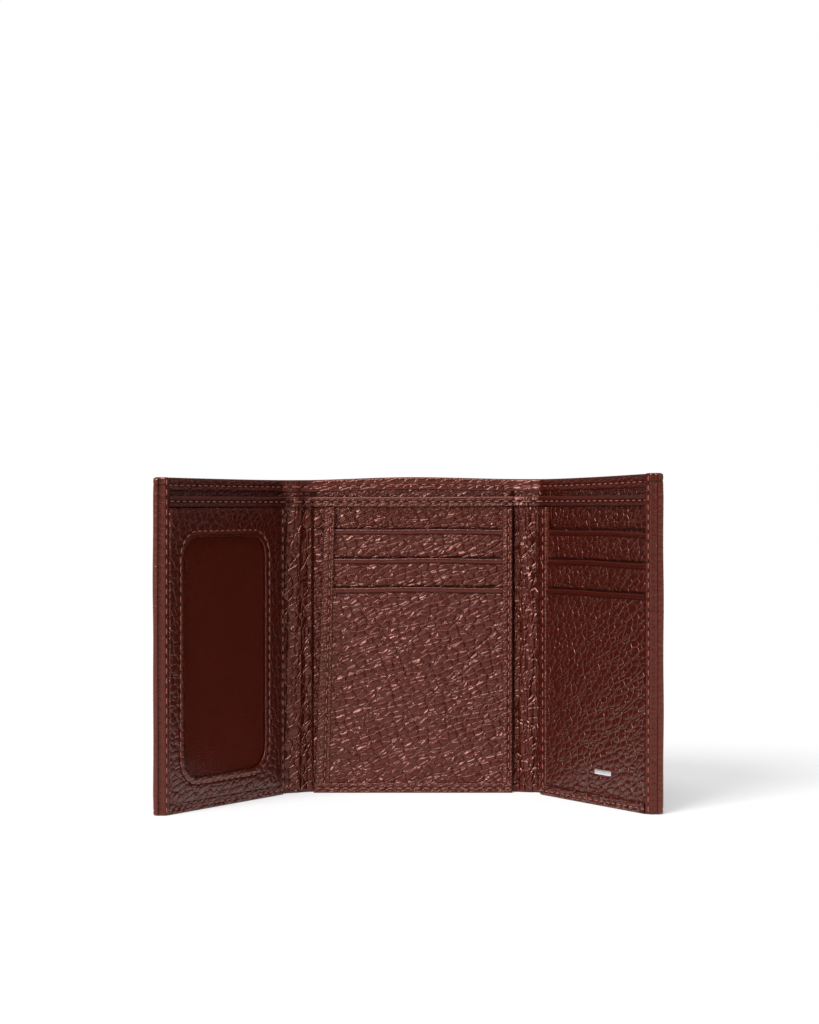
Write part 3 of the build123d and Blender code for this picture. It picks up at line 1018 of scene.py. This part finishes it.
def idFrameLeather():
    centreU, centreZ = (window[0] + window[1]) / 2, (window[2] + window[3]) / 2
    halfU, halfZ = (window[1] - window[0]) / 2, (window[3] - window[2]) / 2
    perSide = (34, 62)
    rings = []
    levels = (0.0, 0.03, 0.09, 0.2, 0.45, 0.9, 1.3, 1.65, 2.0, 2.35, 2.7, 3.3, 4.0, 5.0)
    for out in levels:
        out = out * mm
        rings.append((windowRing(halfU + out, halfZ + out, idSizes["radius"] + out, 10, perSide), out))
    base = rings[-1][0]
    left, right = idFrame["u0"] - centreU, idFrame["u1"] - centreU
    low, high = idFrame["z0"] - centreZ, idFrame["z1"] - centreZ
    reachU, reachZ = halfU + levels[-1] * mm, halfZ + levels[-1] * mm
    radius = idSizes["radius"] + levels[-1] * mm
    for share in (0.35, 0.7, 1.0):
        # the last rings ease out to the frame's own rectangle
        ring = []
        for u, z in base:
            edgeU, edgeZ = (right if u > 0 else left), (high if z > 0 else low)
            overU, overZ = abs(u) - (reachU - radius), abs(z) - (reachZ - radius)
            tu, tz = u, z
            if overU > 1e-7 and overZ > 1e-7:
                lead = min(1.0, overU / overZ), min(1.0, overZ / overU)
                cu, cz = math.copysign(reachU - radius, u), math.copysign(reachZ - radius, z)
                tu, tz = cu + (edgeU - cu) * lead[0], cz + (edgeZ - cz) * lead[1]
            elif overU > overZ:
                tu = edgeU
            else:
                tz = edgeZ
            ring.append((u + (tu - u) * share, z + (tz - z) * share))
        rings.append((ring, (levels[-1] + share) * mm))
    verts, flats, grains, wearsAndHighlights = [], [], [], []
    count = len(base)
    for face in (0, 1):
        for ring, out in rings:
            U = np.array([p[0] for p in ring]) + centreU
            Z = np.array([p[1] for p in ring]) + centreZ
            fall = edgeDrop(np.full_like(U, out), idSizes["edgeRound"])
            if face == 0:
                W = idFrame["w0"] + fall + groove(out - idSizes["stitchOut"], 0.16 * mm, 0.35 * mm)
                W = W - idSizes["puff"] * math.exp(-((out - 0.9 * mm) / (0.8 * mm)) ** 2)
                W = W + 0.04 * mm * ripple(U, Z, 7 * mm, 2.0)
            else:
                W = np.full_like(U, idFrame["w1"]) - fall
            x, y, z = place("left", U, W, Z, "wing")
            verts += np.stack([x, y, z], 1).tolist()
            flats += np.stack([-U + 0.07, W, Z], 1).tolist()
            grains += [0.30 + 0.35 * float(ease(np.array((out - 2.2 * mm) / (0.8 * mm))))] * count
            # rounded edges take the lighter worn colour: partly real edge wear, partly painted highlight
            wearsAndHighlights += np.clip(fall / (0.25 * mm), 0, 1).tolist()
    faces = []
    layers = len(rings)
    for face in (0, 1):
        for r in range(layers - 1):
            for k in range(count):
                a = (face * layers + r) * count + k
                b = (face * layers + r) * count + (k + 1) % count
                c, d = b + count, a + count
                faces.append((a, b, c, d) if face == 0 else (d, c, b, a))
    for r in (0, layers - 1):
        for k in range(count):
            a, b = r * count + k, r * count + (k + 1) % count
            c, d = b + layers * count, a + layers * count
            faces.append((a, d, c, b) if r == 0 else (a, b, c, d))
    values = {"grain": grains, "worn": wearsAndHighlights, "deep": np.zeros(len(verts))}
    obj = makePiece("IdFrame_leather", verts, faces, flats, values)
    dress(obj, "pebbled_leather", ["left_wing_id_frame"])
    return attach(obj, "left_wing")


idFrameLeather()
print("id pocket made")


# any CAD node that still shows takes its slot's finish
slotOfNode = {part["node"]: part["material_slot"] for part in frame["record"]["subparts"]}
for node, obj in frame["nodes"].items():
    if not obj.hide_render:
        obj.data.materials.clear()
        obj.data.materials.append(finishes[slotOfNode[node]])


stitchSizes = {"pitch": 3.0 * mm, "length": 2.1 * mm, "width": 0.46 * mm, "height": 0.36 * mm, "jitter": 0.05,
               "seed": 7}


def stitchTree():
    tree = bpy.data.node_groups.new("Stitches", "GeometryNodeTree")
    tree.interface.new_socket("Geometry", in_out="INPUT", socket_type="NodeSocketGeometry")
    tree.interface.new_socket("Geometry", in_out="OUTPUT", socket_type="NodeSocketGeometry")
    for name in ("Pitch", "Length", "Width", "Height", "Jitter"):
        tree.interface.new_socket(name, in_out="INPUT", socket_type="NodeSocketFloat")
    tree.interface.new_socket("Seed", in_out="INPUT", socket_type="NodeSocketInt")

    g = Graph("Stitches", tree=tree)
    given = g.add("NodeGroupInput")
    curve = g.add("GeometryNodeMeshToCurve", None, {"Mesh": given.other("Geometry")})
    even = g.add("GeometryNodeResampleCurve", {"mode": "LENGTH"},
                 {"Curve": curve, "Length": given.other("Pitch")})
    tangent = g.add("GeometryNodeInputTangent")
    stored = g.add("GeometryNodeStoreNamedAttribute", {"data_type": "FLOAT_VECTOR", "domain": "POINT"},
                   {"Geometry": even, "Name": "run", "Value": tangent})
    points = g.add("GeometryNodeCurveToPoints", {"mode": "EVALUATED"}, {"Curve": stored})
    run, outward = (g.add("GeometryNodeInputNamedAttribute", {"data_type": "FLOAT_VECTOR"}, {"Name": name},
                          "Attribute") for name in ("run", "outward"))
    aligned = g.add("FunctionNodeAxesToRotation", {"primary_axis": "X", "secondary_axis": "Z"},
                    {"Primary Axis": run, "Secondary Axis": outward})
    bead = g.add("GeometryNodeMeshUVSphere", None, {"Segments": 8, "Rings": 5, "Radius": 0.5})
    size = g.add("ShaderNodeCombineXYZ", None,
                 {0: given.other("Length"), 1: given.other("Width"), 2: given.other("Height")})
    jitter = given.other("Jitter")
    chance = g.add("FunctionNodeRandomValue", {"data_type": "FLOAT"},
                   {2: 1.0 - jitter, 3: 1.0 + jitter, "Seed": given.other("Seed")}, 1)
    placed = g.add("GeometryNodeInstanceOnPoints", None,
                   {"Points": points, "Instance": bead, "Rotation": aligned, "Scale": g.scaled(size, chance)})
    real = g.add("GeometryNodeRealizeInstances", None, {"Geometry": placed})
    finished = g.add("GeometryNodeSetMaterial", None, {"Geometry": real, "Material": finishes["thread"]})
    smooth = g.add("GeometryNodeSetShadeSmooth", None, {"Geometry": finished})
    g.add("NodeGroupOutput", None, {"Geometry": smooth})
    return tree


stitches = stitchTree()


def sew(name, runs, nodes=(), out=1):
    # runs: lists of (side, along, depth, height, reach) points that the thread follows; out -1 is the back
    verts, outs, edges = [], [], []
    for run in runs:
        first = len(verts)
        for side, along, depth, height, reach in run:
            here = place(side, np.array([along]), np.array([depth]), np.array([height]), reach)
            above = place(side, np.array([along]), np.array([depth - out * mm]), np.array([height]), reach)
            here, above = (np.array([float(np.ravel(c)[0]) for c in p]) for p in (here, above))
            verts.append(here.tolist())
            outs.append(((above - here) / np.linalg.norm(above - here)).tolist())
        edges += [(k, k + 1) for k in range(first, len(verts) - 1)]
    mesh = bpy.data.meshes.new(name)
    mesh.from_pydata(verts, edges, [])
    addVectors(mesh, "outward", outs)
    source = addObject(name + "_path", mesh)
    modifier = source.modifiers.new("Stitches", "NODES")
    modifier.node_group = stitches
    for item in stitches.interface.items_tree:
        if item.item_type == "SOCKET" and item.name.lower() in stitchSizes:
            modifier[item.identifier] = stitchSizes[item.name.lower()]
    bpy.context.view_layer.update()
    made = bpy.data.meshes.new_from_object(source.evaluated_get(bpy.context.evaluated_depsgraph_get()))
    made.name = name
    bpy.data.objects.remove(source)
    return dress(addObject(name, made), "thread", nodes)


def line(side, reach, first, last, spacing=1.0 * mm):
    # points of one straight row on the flat hide, from (along, depth, height) to (along, depth, height)
    length = math.dist(first, last)
    count = max(2, int(length / spacing) + 1)
    return [(side, *(first[k] + (last[k] - first[k]) * t for k in range(3)), reach)
            for t in np.linspace(0, 1, count)]


def lifted(run, layer):
    out = []
    for side, along, depth, height, reach in run:
        moved = lift(side, layer)(np.array([abs(along)]), np.array([height]))[1]
        out.append((side, along, depth, float(moved[0]), reach))
    return out


def rolled(run):
    # the same points moved as the shell's rolled outer edge is
    out = []
    for side, along, depth, height, reach in run:
        moved = shellShape(side)(np.array([along]), np.array([height]))
        out.append((side, float(moved[0][0]), depth, float(moved[1][0]), reach))
    return out


backFace = outer["w1"] - 0.04 * mm  # thread sinks this little into the back


def crossingStitches():
    # rows that run on over the folds: under the shell's upper edge and along the binding
    for side in ("left", "right"):
        s = sides[side]
        middle = s["middle"]
        rim = spanOf(side + "_wing_side_turned_edge")
        wingBinding = spanOf(side + "_wing_top_binding")
        shellFace = turned["w0"]
        rowZ = turned["z0"] + seamInset
        bindZ = (binding["z0"] + binding["z1"]) / 2
        spans = (("centre", 0.75 * mm, middle - 0.75 * mm), ("wing", middle + 0.75 * mm, rim["u0"]))
        for section, start, end in spans:
            topRow = line(side, shellSizes["reach"], (start, shellFace, rowZ), (end, shellFace, rowZ))
            top = sew(side.title() + "ShellStitches_" + section, [lifted(topRow, "shell")])
            softHinge(top, side, section, shellSizes["reach"])
            backRows = [rolled(line(side, shellSizes["reach"], (start, backFace, z), (end, backFace, z)))
                        for z in (rowZ, seamInset)]
            behind = sew(side.title() + "BackStitches_" + section, backRows, out=-1)
            softHinge(behind, side, section, shellSizes["reach"])
            if section == "centre":
                bound = [line(side, innerSizes["reach"], (start, binding["w0"], bindZ),
                              (end, binding["w0"], bindZ))]
            else:
                near = s["far"] + 1.8 * mm
                bound = [line(side, innerSizes["reach"], (start, binding["w0"], bindZ),
                              (s["far"] + 0.3 * mm, binding["w0"], bindZ)),
                         line(side, innerSizes["reach"], (near, wingBinding["w0"], bindZ),
                              (wingBinding["u1"] - 1.5 * mm, wingBinding["w0"], bindZ))]
            bind = sew(side.title() + "BindingStitches_" + section, [lifted(r, "inner") for r in bound])
            softHinge(bind, side, section, innerSizes["reach"])


def tapered(run):
    out = []
    for side, along, depth, height, reach in run:
        moved = leftTaper(np.array([along]), np.array([height]))[0]
        out.append((side, float(moved[0]), depth, height, reach))
    return out


def panelStitches():
    proud = -0.02 * mm
    front = leftEdge["w0"] + proud
    gap = seamInset
    runs = [
        tapered(line("right", None, (leftEdge["u1"] - seamInsets["centreLeft"], front, leftEdge["z0"]),
                     (leftEdge["u1"] - seamInsets["centreLeft"], front, leftEdge["z1"] - gap))),
        line("right", None, (rightEdge["u1"] - seamInsets["centreRight"], front, rightEdge["z0"]),
             (rightEdge["u1"] - seamInsets["centreRight"], front, rightEdge["z1"] - gap)),
        line("right", None, (bottomEdge["u0"] + gap, front, gap), (bottomEdge["u1"] - gap, front, gap)),
    ]
    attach(sew("CentreStitches", runs, ["centre_stitching"]), "centre")
    for side in ("left", "right"):
        rim = spanOf(side + "_wing_side_turned_edge")
        inner = spanOf(side + "_wing_inner_edging")
        face = rim["w0"] + proud
        column = rim["u0"] + seamInsets["rim"]
        sunk = float(rimDepth(side, rim["u1"] - column)) + 0.1 * mm
        runs = [rolled(line(side, "wing", (column, sunk, gap), (column, sunk, outer["z1"] - gap))),
                line(side, "wing", (inner["u0"] + gap, face, gap), (rim["u0"] - 0.5 * mm, face, gap))]
        if side == "left":
            edgeRow = inner["u0"] + seamInsets["leftWing"]
            runs.append(line(side, "wing", (edgeRow, inner["w0"] + proud, inner["z0"]),
                             (edgeRow, inner["w0"] + proud, inner["z1"] - gap)))
            out = idSizes["stitchOut"]
            halfU, halfZ = (window[1] - window[0]) / 2 + out, (window[3] - window[2]) / 2 + out
            centreU, centreZ = (window[0] + window[1]) / 2, (window[2] + window[3]) / 2
            ring = windowRing(halfU, halfZ, idSizes["radius"] + out, 12, (40, 70))
            runs.append([(side, centreU + u, idFrame["w0"] + proud, centreZ + z, "wing")
                         for u, z in ring + ring[:1]])
        else:
            edgeRow = inner["u0"] + seamInsets["rightWing"]
            faceHere = float(slopedFace(np.array([edgeRow]), None)[0]) + proud * 2
            runs.append(line(side, "wing", (edgeRow, faceHere, inner["z0"]),
                             (edgeRow, faceHere, inner["z1"] - gap)))
        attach(sew(side.title() + "WingStitches", runs, [side + "_wing_stitching"]), side + "_wing")
        backRow = line(side, "wing", (column, backFace, seamInset), (column, backFace, outer["z1"] - gap))
        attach(sew(side.title() + "BackEdgeStitches", [rolled(backRow)], out=-1), side + "_wing")


crossingStitches()
panelStitches()
print("stitches sewn")


studio = {"floorSize": 8.0, "floorColour": (0.5, 0.5, 0.5, 1), "floorGlow": 0.4, "backdrop": (1, 1, 1, 1),
          "dim": 0.06, "zenith": 0.6, "zenithFrom": 0.76, "zenithTo": 0.93, "rear": 0.35,
          "lights": {"Key": (0.34, (-0.62, -0.60, 0.62), 44), "KeyGlint": (3.1, (-0.52, -0.78, 0.62), 26),
                     "Fill": (0.20, (0.70, -0.55, 0.45), 44), "FillGlint": (0.10, (0.75, -0.60, 0.50), 14),
                     "TopGlint": (1.5, (-0.10, -0.60, 1.0), 22)},
          "cameraPlace": (-1.15 * mm, -0.830, 0.101), "lens": 87.3, "sensor": 36.0, "shiftY": -0.0215}


def makeFloor():
    half = studio["floorSize"] / 2
    mesh = bpy.data.meshes.new("Floor")
    corners = [(-half, -half, 0), (half, -half, 0), (half, half, 0), (-half, half, 0)]
    mesh.from_pydata(corners, [], [(0, 1, 2, 3)])
    g = Graph("paleFloor")
    pale = {"Base Color": studio["floorColour"], "Roughness": 0.9, "Specular IOR Level": 0.1,
            "Emission Color": (1, 1, 1, 1), "Emission Strength": studio["floorGlow"]}
    mesh.materials.append(g.finish(pale))
    addObject("Floor", mesh)


def makeLight():
    # a tent: bright overhead and behind, dim in front, with a plain white backdrop
    scene.world = bpy.data.worlds.new("Studio")
    g = Graph("Studio", scene.world)
    away = g.add("ShaderNodeTexCoord", None, None, "Generated")
    split = g.add("ShaderNodeSeparateXYZ", None, {0: away})
    height, depth = split.other("Z"), split.other("Y")
    overhead = g.spread(height, studio["zenithFrom"], studio["zenithTo"], 0.0, studio["zenith"])
    behind = g.spread(depth, 0.05, 0.4, 0.0, studio["rear"]) * g.spread(height, 0.25, 0.5, 1.0, 0.0)
    tent = g.add("ShaderNodeBackground", None,
                 {"Color": (1, 1, 1, 1), "Strength": studio["dim"] + overhead + behind})
    wall = g.add("ShaderNodeBackground", None, {"Color": studio["backdrop"], "Strength": 1.0})
    seen = g.add("ShaderNodeLightPath", None, None, "Is Camera Ray")
    mixed = g.add("ShaderNodeMixShader", None, {0: seen, 1: tent, 2: wall})
    g.add("ShaderNodeOutputWorld", None, {"Surface": mixed})
    for name, (power, away, spread) in studio["lights"].items():
        light = bpy.data.lights.new(name, "SUN")
        light.energy = power
        light.angle = math.radians(spread)
        addObject(name, light).rotation_euler = Vector(away).to_track_quat("Z", "Y").to_euler()


def makeCamera():
    data = bpy.data.cameras.new("Camera")
    data.lens = studio["lens"]
    data.sensor_width = studio["sensor"]
    data.shift_y = studio["shiftY"]
    data.clip_start = 0.01
    camera = addObject("Camera", data)
    camera.location = studio["cameraPlace"]
    camera.rotation_euler = (math.radians(90), 0, 0)
    scene.camera = camera


makeFloor()
makeLight()
makeCamera()
scene.view_settings.view_transform = "Standard"
print("studio ready")
